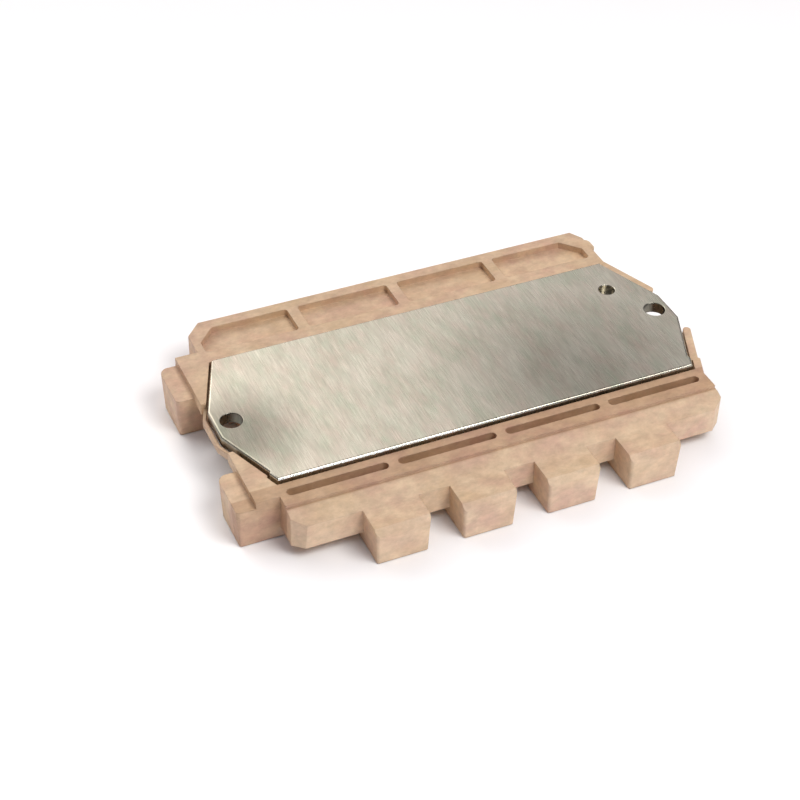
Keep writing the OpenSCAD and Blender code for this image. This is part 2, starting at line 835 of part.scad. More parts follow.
module nut(p) {
    translate([p[0], p[1], 0]) slab(seat_depth - strip_t - nut_t, seat_depth - strip_t) difference() {
        hexagon(nut_flats);
        circle(d = thread_d);
    }
}

module terminal_nuts() {
    color(tinned) {
        for (x = leg_x) {
            nut([x, -block_reach + screw_inset]);
        }
        for (s = [-1, 1]) {
            nut([-lug_reach + screw_inset, s * lug_middle]);
        }
    }
}

// ---------- power circuit ----------

module substrate_plan(margin) {
    for (s = [-1, 1]) {
        translate([s * (ceramic_gap + ceramic_length) / 2, 0])
            square([ceramic_length - 2 * margin, ceramic_width - 2 * margin], center = true);
    }
}

module substrate_solder() {
    color(tinned) slab(plate_t, back_copper_depth) substrate_plan(copper_margin);
}

module substrate_back_copper() {
    color(copper) slab(back_copper_depth, ceramic_depth) substrate_plan(copper_margin);
}

module substrate_ceramic() {
    color([0.93, 0.93, 0.90]) slab(ceramic_depth, track_depth) substrate_plan(0);
}

module pad_notch(p) {
    translate([p[0], p[1]]) square([notch, notch + 1], center = true);
}

module positive_rail() {
    color(copper) slab(track_depth, track_face) difference() {
        for (s = [-1, 1]) {
            translate([s * (copper_in + copper_out) / 2, copper_y - positive_width / 2])
                square([copper_out - copper_in, positive_width], center = true);
        }
        for (i = [0:2]) {
            pad_notch(link_points[i]);
        }
    }
}

module negative_rail() {
    color(copper) slab(track_depth, track_face) for (s = [-1, 1]) {
        scale([s, 1]) {
            translate([copper_in, negative_low]) square([copper_out - copper_in, negative_width]);
            translate([arm_edge, -copper_y]) square([arm_width, copper_y + negative_top]);
        }
    }
}

module phase_tracks() {
    color(copper) slab(track_depth, track_face) difference() {
        for (i = [0:3]) {
            translate([phase_x0[i], -copper_y]) square([phase_x1[i] - phase_x0[i], copper_y + phase_top]);
        }
        for (i = [3:6]) {
            pad_notch(link_points[i]);
        }
    }
}

module gate_pads() {
    color(copper) slab(track_depth, track_face) for (p = link_points) {
        translate(p) square(pad_size, center = true);
    }
}

// Plan of the switch chips: three on the positive rail, four on the phase tracks
module igbt_plan(grow) {
    for (i = [0:3]) {
        translate([leg_x[i] + igbt_dx, low_chip_y]) square(igbt_size + grow, center = true);
    }
    for (i = [1:3]) {
        translate([leg_x[i] + igbt_dx, high_chip_y]) square(igbt_size + grow, center = true);
    }
}

// Plan of the diodes: four on the positive rail, three on the phase tracks
module diode_plan(grow) {
    for (i = [0:3]) {
        translate([leg_x[i] + diode_dx, high_chip_y])
            square([diode_width + grow, igbt_size + grow], center = true);
    }
    for (i = [1:3]) {
        translate([leg_x[i] + diode_dx, low_chip_y])
            square([diode_width + grow, igbt_size + grow], center = true);
    }
}

module chip_solder() {
    color(tinned) slab(track_face, track_face + chip_solder_t) {
        igbt_plan(0);
        diode_plan(0);
    }
}

module igbt_chips() {
    color([0.45, 0.46, 0.50]) slab(track_face + chip_solder_t, chip_face) igbt_plan(0);
}

module diode_chips() {
    color([0.55, 0.55, 0.58]) slab(track_face + chip_solder_t, chip_face) diode_plan(0);
}

// One wire along +X over distance span. Either end may lie below the chips' faces, on a track.
module wire(span, start_drop, end_drop) {
    translate([0, 0, -chip_face]) scale([1, 1, -1]) {
        translate([loop_h, 0, 0]) rotate([90, 0, 180]) rotate_extrude(angle = 90)
            translate([loop_h, 0]) circle(d = wire_d, $fn = 24);
        translate([loop_h, 0, loop_h]) rotate([0, 90, 0])
            cylinder(d = wire_d, h = span - 2 * loop_h, $fn = 24);
        translate([span - loop_h, 0, 0]) rotate([90, 0, 0]) rotate_extrude(angle = 90)
            translate([loop_h, 0]) circle(d = wire_d, $fn = 24);
        if (start_drop > 0) {
            translate([0, 0, -start_drop]) cylinder(d = wire_d, h = start_drop, $fn = 24);
        }
        if (end_drop > 0) {
            translate([span, 0, -end_drop]) cylinder(d = wire_d, h = end_drop, $fn = 24);
        }
    }
}

module wire_at(x, y, turn, span, start_drop, end_drop) {
    translate([x, y, 0]) rotate([0, 0, turn]) wire(span, start_drop, end_drop);
}

module bond_wires() {
    low = chip_face - track_face;
    rail_middle = (negative_top + negative_low) / 2;
    low_bond = low_chip_y + 1.8;
    high_bond = high_chip_y - 1.2;
    pad_bond = pad_y - link_d / 2 - wire_d / 2 - 0.05;
    link_foot = (copper_in + leg_x[2] + igbt_dx - igbt_size / 2) / 2;
    color(tinned) {
        for (i = [0:3], k = [-1, 0, 1]) {
            // switch on the low side to the negative rail
            wire_at(leg_x[i] + igbt_dx + 1.5 * k, low_bond, 90, rail_middle - low_bond, 0, low);
            // diode on the high side to the phase track
            wire_at(leg_x[i] + diode_dx + 1.4 * k, high_bond, -90, high_bond - phase_top + 0.9, 0, low);
        }
        for (i = [1:3], k = [-1, 1]) {
            wire_at(leg_x[i] + igbt_dx + 1, low_chip_y - 1.4 + 0.6 * k, 0, diode_dx - igbt_dx - 1, 0, 0);
            wire_at(leg_x[i] + igbt_dx + 1, high_chip_y + 0.9 + 0.8 * k, 0, diode_dx - igbt_dx - 1, 0, 0);
        }
        // gate wires
        for (i = [0:3]) {
            wire_at(leg_x[i] + pad_dx, low_chip_y - igbt_size / 2 + 0.4, -90,
                pad_bond + low_chip_y - igbt_size / 2 + 0.4, 0, low);
        }
        for (i = [1:3]) {
            wire_at(leg_x[i] + pad_dx, pad_bond - 2 * loop_h - eps, 90, 2 * loop_h + eps, 0, low);
        }
        // links between the two substrates, each end midway between the copper's edge and the chip
        for (y = [high_chip_y - 2.8, high_chip_y, high_chip_y + 2.8, rail_middle]) {
            wire_at(-link_foot, y, 0, 2 * link_foot, low, low);
        }
    }
}

// ---------- control side ----------

module control_board() {
    color([0.10, 0.38, 0.22]) slab(board_depth, board_face) difference() {
        rounded_rect(-board_half_x, board_half_x, -board_front, board_back, 1);
        for (p = link_points) {
            translate(p) circle(d = link_d + 2 * link_play);
        }
    }
}

module link_pins() {
    color(tinned) slab(track_face, board_face + 0.3) for (p = link_points) {
        translate(p) circle(d = link_d);
    }
}

module driver_chip(p) {
    translate([p[0], p[1], 0]) {
        slab(board_face + 0.1, board_face + 0.1 + driver_t)
            square([driver_length, driver_width], center = true);
        for (i = [0:3], s = [-1, 1]) {
            x = (i - 1.5) * 2;
            slab(board_face + 0.7, board_face + 0.9) translate([x, s * (driver_width / 2 + 0.3)])
                square([0.5, 0.8], center = true);
            slab(board_face, board_face + 0.9) translate([x, s * (driver_width / 2 + 0.6)])
                square([0.5, 0.2], center = true);
            slab(board_face, board_face + 0.2) translate([x, s * (driver_width / 2 + 0.9)])
                square([0.5, 0.8], center = true);
        }
    }
}

module driver_chips() {
    color([0.15, 0.15, 0.16]) for (p = driver_points) {
        driver_chip(p);
    }
}

module board_capacitors() {
    color([0.65, 0.50, 0.35]) slab(board_face, board_face + 1.2) for (p = capacitor_points) {
        translate(p) square([3.2, 1.6], center = true);
    }
}

module board_resistors() {
    color([0.18, 0.18, 0.20]) slab(board_face, board_face + 0.5) for (p = resistor_points) {
        translate(p) square([2, 1.25], center = true);
    }
}

// One angled pin: a leg along the board, then down through the case into the guard
module pin(x) {
    translate([x - pin_t / 2, board_back - 2.2, -board_face - pin_t])
        cube([pin_t, pin_line + pin_t / 2 - board_back + 2.2, pin_t]);
    translate([x - pin_t / 2, pin_line - pin_t / 2, -pin_depth])
        cube([pin_t, pin_t, pin_depth - board_face]);
}

module pin_rows() {
    for (g = pin_groups, k = [0:6]) {
        if (k < g[1]) {
            pin(g[0] + (k - (g[1] - 1) / 2) * pin_pitch);
        }
    }
}

module control_pins() {
    color(tinned) pin_rows();
}

// ---------- drawing ----------

base_plate();
case_frame();
lid();
plate_adhesive();
lid_adhesive();
substrate_solder();
substrate_back_copper();
substrate_ceramic();
positive_rail();
negative_rail();
phase_tracks();
gate_pads();
chip_solder();
igbt_chips();
diode_chips();
bond_wires();
terminal_p();
terminal_n();
terminal_b();
terminal_u();
terminal_v();
terminal_w();
terminal_nuts();
control_board();
driver_chips();
board_capacitors();
board_resistors();
link_pins();
control_pins();
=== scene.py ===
"""Seven-in-one power module lying with its cooling plate up, on a plain pale floor."""

import json
import math

import bmesh
import bpy
import numpy as np
from mathutils import Matrix, Vector


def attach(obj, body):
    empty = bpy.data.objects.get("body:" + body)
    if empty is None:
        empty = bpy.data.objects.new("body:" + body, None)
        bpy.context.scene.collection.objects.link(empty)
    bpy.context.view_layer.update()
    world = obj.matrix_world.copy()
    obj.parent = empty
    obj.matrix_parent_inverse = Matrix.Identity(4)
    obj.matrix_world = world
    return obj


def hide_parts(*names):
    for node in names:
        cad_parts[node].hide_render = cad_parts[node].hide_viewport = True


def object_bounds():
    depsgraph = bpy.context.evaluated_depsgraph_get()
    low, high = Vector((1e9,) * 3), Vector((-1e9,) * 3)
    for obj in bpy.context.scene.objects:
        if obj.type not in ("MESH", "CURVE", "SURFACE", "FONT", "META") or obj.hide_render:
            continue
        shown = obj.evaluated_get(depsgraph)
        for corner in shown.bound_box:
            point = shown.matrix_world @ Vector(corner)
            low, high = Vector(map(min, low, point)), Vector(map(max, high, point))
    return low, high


bl_info = {
    "name": "Power module looks",
    "version": (1, 0, 0),
    "blender": (4, 5, 0),
    "location": "View3D > Sidebar > Power module",
    "description": "Finishes the packed power module and sets its stage",
    "category": "Object",
}

MM = 0.001
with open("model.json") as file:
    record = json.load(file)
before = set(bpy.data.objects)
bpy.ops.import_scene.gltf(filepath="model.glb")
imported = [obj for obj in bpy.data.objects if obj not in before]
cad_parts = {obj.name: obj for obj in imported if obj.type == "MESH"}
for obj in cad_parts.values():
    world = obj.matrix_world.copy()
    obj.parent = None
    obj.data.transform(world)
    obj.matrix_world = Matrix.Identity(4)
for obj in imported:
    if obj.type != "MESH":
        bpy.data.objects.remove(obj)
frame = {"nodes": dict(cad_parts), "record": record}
NODES = frame["nodes"]
CAD_BOX = [list(corner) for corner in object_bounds()]
MOUNTS = {mount["name"]: mount for mount in frame["record"]["mounts"]}

# Facets that turn less than FLAT lie in one plane, and an edge that turns more than SHARP stays
FLAT = math.radians(0.6)
SHARP = math.radians(30)
THREAD_SHARP = math.radians(35)
# Corners nearer than this are one corner
WELD = 0.002 * MM
# Cosine of about 30 degrees: an edge nearer to its neighbour's direction runs on from it
RUNS_ON = 0.86
# Least room beside a rounded edge, in radii
ROOM = 3.5


# ---------- helpers ----------


def srgb(text):
    """The linear colour, with alpha, of an sRGB hex value."""
    values = [int(text[i : i + 2], 16) / 255 for i in (0, 2, 4)]
    return [v / 12.92 if v <= 0.04045 else ((v + 0.055) / 1.055) ** 2.4 for v in values] + [1.0]


def add(tree, kind, *inputs, output=None, **settings):
    """Adds a shader node and gives its output: the one that is named, or else the first in use.
    inputs fill the node's inputs in order. A setting is a property where the node has it, or else
    the input of that name, with spaces for underscores. An input takes a value or an output."""
    node = tree.nodes.new("ShaderNode" + kind)
    named = []
    for key, value in settings.items():
        if hasattr(node, key):
            setattr(node, key, value)
        else:
            named.append((node.inputs[key.replace("_", " ")], value))
    in_use = [socket for socket in node.inputs if socket.enabled]
    for socket, value in [*zip(in_use, inputs), *named]:
        if isinstance(value, bpy.types.NodeSocket):
            tree.links.new(value, socket)
        else:
            socket.default_value = value
    if output:
        return node.outputs[output]
    return next(socket for socket in node.outputs if socket.enabled)


# How a Mix node mixes colours, and how it darkens or tints one by another
COLOURS = {"data_type": "RGBA"}
SHADE = {"data_type": "RGBA", "blend_type": "MULTIPLY"}


def pattern(tree, place, size_mm, stretch=(1, 1, 1), detail=2.0, rough=0.5):
    """A cloudy pattern with lumps about size_mm across, drawn out by stretch along X, Y and Z."""
    scale = [1 / (size_mm * MM * factor) for factor in stretch]
    spread = add(tree, "Mapping", Vector=place, Scale=scale, vector_type="POINT")
    return add(tree, "TexNoise", Vector=spread, Scale=1.0, Detail=detail, Roughness=rough)


def away_from(tree, place, point):
    """Distance in plan from a point, which is an upright line through X and Y."""
    flat = add(tree, "VectorMath", place, (1, 1, 0), operation="MULTIPLY")
    return add(tree, "VectorMath", flat, (*point, 0), operation="DISTANCE")


def new_material(name, **sockets):
    """A material with its shader's own sockets set, its tree and shader, and Object coordinates."""
    material = bpy.data.materials.new(name)
    material.use_nodes = True
    tree = material.node_tree
    shader = tree.nodes["Principled BSDF"]
    for key, value in sockets.items():
        shader.inputs[key.replace("_", " ")].default_value = value
    return material, tree, shader, add(tree, "TexCoord", output="Object")


def connect(tree, shader, **sockets):
    """Links sockets to the shader's inputs of those names."""
    for key, socket in sockets.items():
        tree.links.new(socket, shader.inputs[key.replace("_", " ")])


def room_beside(edge):
    """The least width of the two faces beside an edge and of the edges that leave its ends at more
    than about 30 degrees."""
    start = edge.verts[0].co
    along = (edge.verts[1].co - start).normalized()
    room = [
        max((corner.co - start).cross(along).length for corner in face.verts)
        for face in edge.link_faces
    ]
    for end in edge.verts:
        for other in end.link_edges:
            step = other.other_vert(end).co - end.co
            if other is not edge and abs(step.normalized().dot(along)) < RUNS_ON:
                room.append(step.length)
    return min(room)


def merged_mesh(node, name, radius_mm):
    """A new mesh with a CAD node's surface: its loose triangles are joined at their corners, and
    triangles that lie in one plane become one face. An outer edge sharper than 30 degrees is
    marked for rounding by radius_mm where the faces and edges beside it leave room for that."""
    source = NODES[node].data
    points = np.empty(len(source.vertices) * 3)
    source.vertices.foreach_get("co", points)
    corners = np.empty(len(source.loops), int)
    source.loops.foreach_get("vertex_index", corners)
    points, index = np.unique(np.round(points.reshape(-1, 3), 7), axis=0, return_inverse=True)
    triangles = index.reshape(-1)[corners].reshape(-1, 3)
    sound = (
        (triangles[:, 0] != triangles[:, 1])
        & (triangles[:, 1] != triangles[:, 2])
        & (triangles[:, 2] != triangles[:, 0])
    )
    mesh = bpy.data.meshes.new(name)
    mesh.from_pydata(points.tolist(), [], triangles[sound].tolist())
    work = bmesh.new()
    work.from_mesh(mesh)
    bmesh.ops.remove_doubles(work, verts=work.verts, dist=WELD)
    bmesh.ops.dissolve_limit(work, angle_limit=FLAT, verts=work.verts, edges=work.edges)
    weight = work.edges.layers.float.new("bevel_weight_edge")
    for edge in work.edges:
        if edge.is_convex and edge.calc_face_angle(0) > SHARP:
            edge[weight] = float(room_beside(edge) > ROOM * radius_mm * MM)
    work.to_mesh(mesh)
    work.free()
    return mesh


def place_piece(mesh, name, material, replaced=()):
    """Links a finished mesh as a piece that rides on the module."""
    piece = bpy.data.objects.new(name, mesh)
    bpy.context.scene.collection.objects.link(piece)
    mesh.materials.clear()
    mesh.materials.append(material)
    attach(piece, "root")
    if replaced:
        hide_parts(*replaced)
    return piece


def shade_smooth(piece):
    """Shades what is curved smoothly, and keeps flat faces flat."""
    mesh = piece.data
    mesh.polygons.foreach_set("use_smooth", [True] * len(mesh.polygons))
    mesh.set_sharp_from_angle(angle=SHARP)
    tool = piece.modifiers.new("Flat faces stay flat", "WEIGHTED_NORMAL")
    tool.keep_sharp = True


def round_edges(piece, radius_mm, segments):
    """Rounds the edges that were marked and shades the piece smoothly."""
    tool = piece.modifiers.new("Rounded edges", "BEVEL")
    tool.width = radius_mm * MM
    tool.segments = segments
    tool.limit_method = "WEIGHT"
    tool.harden_normals = True
    tool.use_clamp_overlap = False
    shade_smooth(piece)


# ---------- materials ----------


def moulded_plastic(name, base, warm, pale, strip, edge_mm):
    """Glass-filled PBT, injection moulded: a tan that drifts between pink and straw over a few
    millimetres where the filler flowed, with a fine matt grain left by the eroded mould. The strip
    in front of the plate is a little browner; strip holds its middle and half its width in Y.
    The light is softened within edge_mm of an edge, as on a moulded corner."""
    material, tree, shader, place = new_material(name, Metallic=0.0, IOR=1.55)
    flow = pattern(tree, place, 9, (1.6, 1, 1), detail=3)
    cloud = pattern(tree, place, 4.5, detail=4, rough=0.6)
    haze = pattern(tree, place, 1.6, (1.6, 1, 1), detail=5, rough=0.7)
    drift = add(tree, "MapRange", flow, 0.38, 0.62, 0, 1)
    paleness = add(tree, "MapRange", cloud, 0.42, 0.68, 0, 1)
    hazy = add(tree, "MapRange", haze, 0.3, 0.7, 0.82, 1.12)
    colour = add(tree, "Mix", drift, srgb(warm), srgb(base), **COLOURS)
    colour = add(tree, "Mix", paleness, colour, srgb(pale), **COLOURS)
    colour = add(tree, "Mix", 1.0, colour, hazy, **SHADE)

    middle, half = strip
    side = add(tree, "SeparateXYZ", place, output="Y")
    side = add(tree, "Math", side, middle, operation="SUBTRACT")
    side = add(tree, "Math", side, operation="ABSOLUTE")
    outside = add(tree, "MapRange", side, half - 0.2 * MM, half + 0.1 * MM, 0, 1)
    brown = add(tree, "Mix", 1.0, colour, srgb("E6DCD6"), **SHADE)
    colour = add(tree, "Mix", outside, brown, colour, **COLOURS)

    shine = add(tree, "MapRange", pattern(tree, place, 5), 0.3, 0.7, 0.46, 0.64)
    ripple = pattern(tree, place, 4, detail=1)
    # Real grain is about 0.05 mm, too fine to show, so it is drawn as coarse as it needs to be
    grain = pattern(tree, place, 0.35)
    soft = add(tree, "Bevel", samples=4, Radius=edge_mm * MM)
    soft = add(tree, "Bump", Height=ripple, Distance=0.05 * MM, Strength=0.25, Normal=soft)
    soft = add(tree, "Bump", Height=grain, Distance=0.02 * MM, Strength=0.5, Normal=soft)
    connect(tree, shader, Base_Color=colour, Roughness=shine, Normal=soft)
    return material


def lapped_nickel(name, base, cool, warm, streak_mm, spots):
    """Nickel plate on lapped copper: a warm grey mirror broken up by fine scratches that all run
    across the plate, and by a faint cloudiness of the plating. The rolled edge was not lapped, so
    the scratches stop there. Each spot darkens the colour, as painted shade in the holes and as
    darker patches elsewhere; it is (x, y, radius of its core, radius where it ends, shade of its
    core)."""
    material, tree, shader, place = new_material(name, Metallic=1.0)
    # Real scratches are some hundredths of a millimetre apart, too fine to show, and streak_mm is
    # as coarse as they need to be
    fine = pattern(tree, place, streak_mm, (1, 18, 6), 3, 0.65)
    broad = pattern(tree, place, 5 * streak_mm, (1, 7, 4), 3, 0.6)
    cloud = pattern(tree, place, 8, (1, 2, 1), 4, 0.6)
    tint = pattern(tree, place, 3.2, (1, 2.2, 1), 3, 0.6)
    warmth = add(tree, "MapRange", tint, 0.35, 0.65, 0, 1)
    plainness = add(tree, "MapRange", cloud, 0.35, 0.65, 0.2, 0.8)
    colour = add(tree, "Mix", warmth, srgb(cool), srgb(warm), **COLOURS)
    colour = add(tree, "Mix", plainness, colour, srgb(base), **COLOURS)

    shades = [
        add(tree, "MapRange", fine, 0.25, 0.75, 0.72, 1.06),
        add(tree, "MapRange", cloud, 0.3, 0.7, 0.84, 1.0),
    ]
    # Each spot darkens the colour: painted shade in the holes, darker patches elsewhere
    for x, y, near, far, shade in spots:
        away = away_from(tree, place, (x, y))
        shades.append(add(tree, "MapRange", away, near, far, shade, 1))
    for shade in shades:
        colour = add(tree, "Mix", 1.0, colour, shade, **SHADE)

    rough = add(tree, "MapRange", broad, 0.3, 0.7, 0.22, 0.34)
    facing = add(tree, "TexCoord", output="Normal")
    upward = add(tree, "SeparateXYZ", facing, output="Z")
    lapped = add(tree, "MapRange", upward, 0.97, 0.999, 0, 0.5)
    worn = add(tree, "Bump", Height=broad, Distance=0.012 * MM, Strength=lapped)
    worn = add(tree, "Bump", Height=fine, Distance=0.006 * MM, Strength=lapped, Normal=worn)
    connect(tree, shader, Base_Color=colour, Roughness=rough, Normal=worn)
    return material


def plated_strip(name, base, dull, line_mm, along):
    """Plated metal that was rolled, sheared and bent: bright, with rolling lines and duller
    patches. along is how far the lines are drawn out in X, Y and Z. They are drawn coarser than
    real ones, which are too fine to show."""
    material, tree, shader, place = new_material(name, Metallic=1.0)
    lines = pattern(tree, place, line_mm, along)
    cloud = pattern(tree, place, 2.4)
    dulled = add(tree, "MapRange", cloud, 0.4, 0.7, 0, 1)
    colour = add(tree, "Mix", dulled, srgb(base), srgb(dull), **COLOURS)
    rough = add(tree, "MapRange", cloud, 0.3, 0.7, 0.26, 0.4)
    rolled = add(tree, "Bump", Height=lines, Distance=0.006 * MM, Strength=0.4)
    connect(tree, shader, Base_Color=colour, Roughness=rough, Normal=rolled)
    return material


def plain_solid(name, base, mottle, size_mm, rough, metallic=0.0, grain_mm=0.3):
    """One material with a soft mottle of a second colour, size_mm across, and a fine grain."""
    material, tree, shader, place = new_material(name, Metallic=metallic)
    if not metallic:
        shader.inputs["IOR"].default_value = 1.5
    cloud = pattern(tree, place, size_mm)
    mottled = add(tree, "MapRange", cloud, 0.35, 0.7, 0, 1)
    colour = add(tree, "Mix", mottled, srgb(base), srgb(mottle), **COLOURS)
    shine = add(tree, "MapRange", cloud, 0.3, 0.7, rough * 0.85, min(rough * 1.15, 1))
    grain = pattern(tree, place, grain_mm, detail=1)
    grained = add(tree, "Bump", Height=grain, Distance=0.01 * MM, Strength=0.5)
    connect(tree, shader, Base_Color=colour, Roughness=shine, Normal=grained)
    return material


# ---------- settings ----------


def colour_setting(label, text, value):
    """A colour property whose default is an sRGB hex value."""
    return bpy.props.StringProperty(name=label, description=text, default=value, maxlen=6)


def length_setting(label, text, value):
    """A length in millimetres."""
    return bpy.props.FloatProperty(name=label, description=text, default=value, min=0, precision=3)


def strength_setting(label, text, value, subtype="NONE"):
    """The strength of a light or of the room; a light's is its power."""
    return bpy.props.FloatProperty(
        name=label, description=text, default=value, min=0, subtype=subtype
    )


class CaseSettings(bpy.types.PropertyGroup):
    """Colours and edges of the moulded case and lid."""

    base: colour_setting("Tan", "Main colour of the plastic", "D0B08C")
    warm: colour_setting("Pink tan", "Colour where the filler flowed", "CCA68C")
    pale: colour_setting("Straw", "Colour of the pale clouds", "DABC9A")
    edge: length_setting(
        "Edge radius (mm)", "Rounding of the lid, and reach of the softened light at edges", 0.22
    )


class PlateSettings(bpy.types.PropertyGroup):
    """Colours, edges and scratches of the cooling plate."""

    base: colour_setting("Nickel", "Main colour of the plating", "E0D9C8")
    cool: colour_setting("Cool nickel", "Greenish tint of the plating", "CDD0B8")
    warm: colour_setting("Warm nickel", "Pinkish tint of the plating", "E2D0BE")
    edge: length_setting("Edge radius (mm)", "Rounding of the plate's sharp edges", 0.15)
    streak: length_setting("Scratch spacing (mm)", "Width of a lapping scratch as drawn", 0.3)


class MetalSettings(bpy.types.PropertyGroup):
    """Finish of terminals, nuts and pins."""

    base: colour_setting("Plated metal", "Main colour of the plating", "D6D2C8")
    dull: colour_setting("Dull patches", "Colour of its duller patches", "BDB9AF")
    edge: length_setting("Edge radius (mm)", "Rounding of strips and pins", 0.08)
    pitch: length_setting("Thread pitch (mm)", "Pitch of the nuts' thread", 0.7)


class StageSettings(bpy.types.PropertyGroup):
    """Floor, light and camera."""

    floor: colour_setting("Floor", "Colour of the floor", "F4F2F0")
    dim: strength_setting("Dark side", "Strength of the room away from its bright side", 0.17)
    bright: strength_setting("Bright side", "Strength of the room behind and above", 1.65)
    overhead: strength_setting(
        "Overhead light", "Power of the softbox above, in front at the right", 2.6, "POWER"
    )
    back: strength_setting("Back panel", "Power of the panel behind at the left", 1.5, "POWER")
    paper: strength_setting(
        "Floor light", "Power of the light that falls on the floor alone", 1.3, "POWER"
    )
    front: strength_setting("Front strip", "Power of the long low light in front", 0.5, "POWER")
    lens: bpy.props.FloatProperty(
        name="Lens", description="Focal length on a 36 mm wide sensor", default=81.64, min=1,
        unit="CAMERA",
    )


# ---------- pieces ----------

# Middle and half the width, in Y, of the strip of plastic in front of the plate
FRONT_STRIP = (-23.3 * MM, 3.4 * MM)


class POWERMODULE_OT_case(bpy.types.Operator):
    """Rounds the edges of the lid and gives the case and the lid their plastic, which softens the
    look of the case's own crowded edges"""

    bl_idname = "power_module.case"
    bl_label = "Case and lid"

    def execute(self, context):
        case = context.scene.pm_case
        plastic = moulded_plastic(
            "Glass-filled PBT, moulded, tan", case.base, case.warm, case.pale, FRONT_STRIP,
            case.edge,
        )
        mesh = merged_mesh("case_frame", "moulded_case", case.edge)
        piece = place_piece(mesh, "moulded_case", plastic, ["case_frame"])
        shade_smooth(piece)
        mesh = merged_mesh("lid", "moulded_lid", case.edge)
        piece = place_piece(mesh, "moulded_lid", plastic, ["lid"])
        round_edges(piece, case.edge, 3)
        return {"FINISHED"}


class POWERMODULE_OT_plate(bpy.types.Operator):
    """Rounds the edges of the cooling plate and gives it its lapped nickel"""

    bl_idname = "power_module.plate"
    bl_label = "Cooling plate"

    def execute(self, context):
        plate = context.scene.pm_plate
        dims, pin = MOUNTS["mounting_holes"]["dims"], MOUNTS["locating_hole"]
        across, radius = dims["spacing_x_mm"] / 2 * MM, dims["hole_r_mm"] * MM
        # The colour is darkened around the tip at the left and over a broad patch at the front
        spots = [
            (-across, -4 * MM, 3 * MM, 16 * MM, 0.5),
            (20 * MM, -12 * MM, 6 * MM, 30 * MM, 0.6),
        ]
        # Painted shade: the colour in the holes is darkened to stand in for the shade inside them
        for x, y, reach, shade in (
            (-across, 0, radius, 0.45),
            (across, 0, radius, 0.3),
            (*pin["pos_m"][:2], pin["dims"]["r_mm"] * MM, 0.75),
        ):
            spots.append((x, y, reach, reach + 0.1 * MM, shade))
        nickel = lapped_nickel(
            "Nickel plate on copper, lapped", plate.base, plate.cool, plate.warm, plate.streak,
            spots,
        )
        mesh = merged_mesh("base_plate", "cooling_plate", plate.edge)
        piece = place_piece(mesh, "cooling_plate", nickel, ["base_plate"])
        round_edges(piece, plate.edge, 3)
        return {"FINISHED"}


SUPPLY_TERMINALS = ("terminal_p", "terminal_n")
OUTPUT_TERMINALS = ("terminal_b", "terminal_u", "terminal_v", "terminal_w")


class POWERMODULE_OT_metal(bpy.types.Operator):
    """Finishes the terminals, their nuts and the control pins"""

    bl_idname = "power_module.metal"
    bl_label = "Terminals and pins"

    def execute(self, context):
        metal = context.scene.pm_metal
        plating = (metal.base, metal.dull, 0.15)
        rolled_y = plated_strip("Nickel-plated copper strip, rolled", *plating, (1, 14, 1))
        rolled_x = plated_strip("Nickel-plated copper strip, turned", *plating, (14, 1, 1))
        steel = plated_strip("Zinc-plated steel, pressed", "C9C9C6", "B2B2AE", 0.2, (1, 1, 1))
        tin = plated_strip("Tin-plated brass, drawn", "DBDAD6", "C6C4BE", 0.1, (1, 1, 12))
        pieces = [
            (node, node + "_strip", "terminal_nickel", rolled_x, metal.edge)
            for node in SUPPLY_TERMINALS
        ]
        pieces += [
            (node, node + "_strip", "terminal_nickel", rolled_y, metal.edge)
            for node in OUTPUT_TERMINALS
        ]
        pieces.append(("terminal_nuts", "held_nuts", "nut_steel", steel, 2 * metal.edge))
        pieces.append(("control_pins", "square_pins", "tinned_pin", tin, metal.edge))
        for node, name, slot, material, edge in pieces:
            piece = place_piece(merged_mesh(node, name, edge), name, material, [node])
            round_edges(piece, edge, 2)
        return {"FINISHED"}


def thread_ridge(mount, pitch):
    """Points and quads of one thread ridge. A triangular profile, with its root sunk a little into
    the nut's wall and its crest at the minor radius, is carried along a helix: angle t gives the
    point (r cos t, r sin t) at height pitch t / 2 pi. Its height fades to nothing at both ends."""
    radius, length = mount["dims"]["r_mm"], mount["dims"]["length_mm"]
    # The height of a metric thread in a nut, and half the widths of its root and crest
    depth, half_root, half_crest = 0.5413 * pitch, 0.44 * pitch, 0.06 * pitch
    sunk, steps_a_turn, fade_angle = 0.03, 36, 1.2
    turns = (length - pitch) / pitch
    angle = np.linspace(0, 2 * math.pi * turns, int(steps_a_turn * turns) + 1)
    fade = np.clip(np.minimum(angle, angle[-1] - angle) / fade_angle, 0.05, 1)
    profile = np.array(
        [(sunk, -half_root), (-depth, -half_crest), (-depth, half_crest), (sunk, half_root)]
    )
    out = radius + np.where(profile[:, 0] > 0, profile[:, 0], profile[:, 0] * fade[:, None])
    rise = profile[:, 1] + pitch * angle[:, None] / (2 * math.pi) - turns * pitch / 2
    x, y, z = mount["pos_m"]
    points = np.stack(
        [
            x + MM * out * np.cos(angle)[:, None],
            y + MM * out * np.sin(angle)[:, None],
            z + MM * rise,
        ],
        axis=-1,
    ).reshape(-1, 3)
    rings, sides = len(angle), len(profile)
    ring, side = np.meshgrid(np.arange(rings - 1), np.arange(sides), indexing="ij")
    here, beside = (ring * sides + side).ravel(), (ring * sides + (side + 1) % sides).ravel()
    quads = np.stack([here, beside, beside + sides, here + sides], axis=1)
    last = (rings - 1) * sides
    ends = np.array([[3, 2, 1, 0], [last, last + 1, last + 2, last + 3]])
    return points, np.concatenate([quads, ends])


